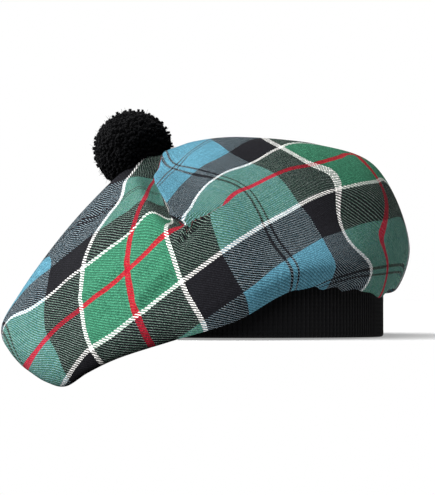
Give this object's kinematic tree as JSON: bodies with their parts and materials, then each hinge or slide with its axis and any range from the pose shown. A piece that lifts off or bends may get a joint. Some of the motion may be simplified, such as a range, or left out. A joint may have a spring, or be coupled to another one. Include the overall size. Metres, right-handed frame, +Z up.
{
  "type": "tam o'shanter cap",
  "caption": "Soft tartan tam o'shanter, its broad crown gathered into a ribbed knit headband and flopped to one side, with a black yarn pompom.",
  "frame": {"origin": "centre of the head opening, level with the headband's lower edge", "axes": "+Z up, -Y the way the wearer faces, +X the wearer's left; the crown hangs over to -X"},
  "size_m": [0.2449, 0.2529, 0.1651],
  "materials": {
    "tartan_cloth": "woven twill tartan, matt",
    "ribbed_knit": "ribbed knit, matt black",
    "yarn": "cut wool yarn, matt black"
  },
  "bodies": {
    "root": {"crown": "tartan_cloth", "headband": "ribbed_knit", "pompom": "yarn"}
  },
  "joints": []
}
